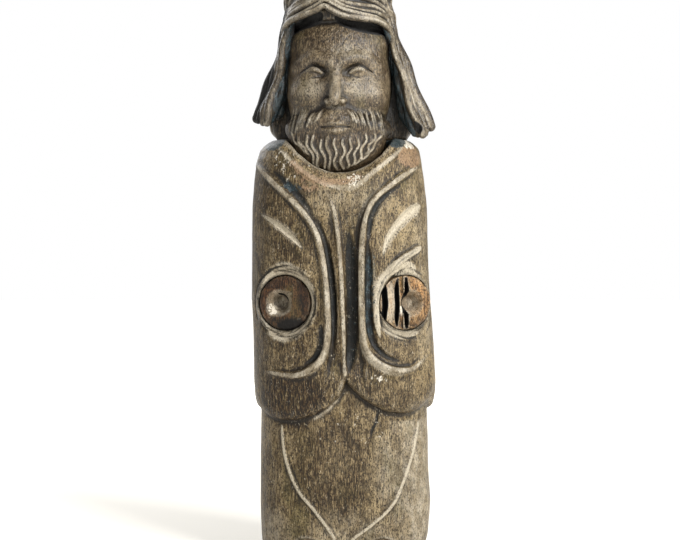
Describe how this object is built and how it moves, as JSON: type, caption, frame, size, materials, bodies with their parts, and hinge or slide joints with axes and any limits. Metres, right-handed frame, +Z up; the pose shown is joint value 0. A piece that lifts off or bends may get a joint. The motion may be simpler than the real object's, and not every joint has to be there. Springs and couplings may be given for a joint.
{
  "type": "carved wooden figure",
  "caption": "Carved wooden standing figure of a bearded, long-haired man in a long cloak, with wrist sockets for separate hands and a flat base to stand on.",
  "frame": {"origin": "on the floor, under the middle of the log that the body is carved from", "axes": "+Z up along the figure, -Y the way the figure faces, +X to the figure's own left, which is the viewer's right"},
  "size_m": [0.09, 0.0694, 0.294],
  "materials": {
    "aged_wood": "old dark wood, worn to a satin on the ridges, with remains of paint and gesso in the hollows",
    "head_wood": "the same wood, more polished on the face, nearly black in the grooves of the hair",
    "dark_wrist_wood": "burnished dark end grain",
    "split_wrist_wood": "orange-brown wood with open splits along the grain",
    "shoe_wood": "worn light brown wood",
    "dowel_wood": "plain unpainted wood, hidden"
  },
  "bodies": {
    "root": {"body_block": "aged_wood", "head_block": "head_wood", "neck_dowel": "dowel_wood", "right_wrist_stub": "dark_wrist_wood", "right_wrist_dowel": "dowel_wood", "right_foot": "shoe_wood", "left_wrist_stub": "split_wrist_wood", "left_wrist_dowel": "dowel_wood", "left_foot": "shoe_wood"}
  },
  "joints": []
}
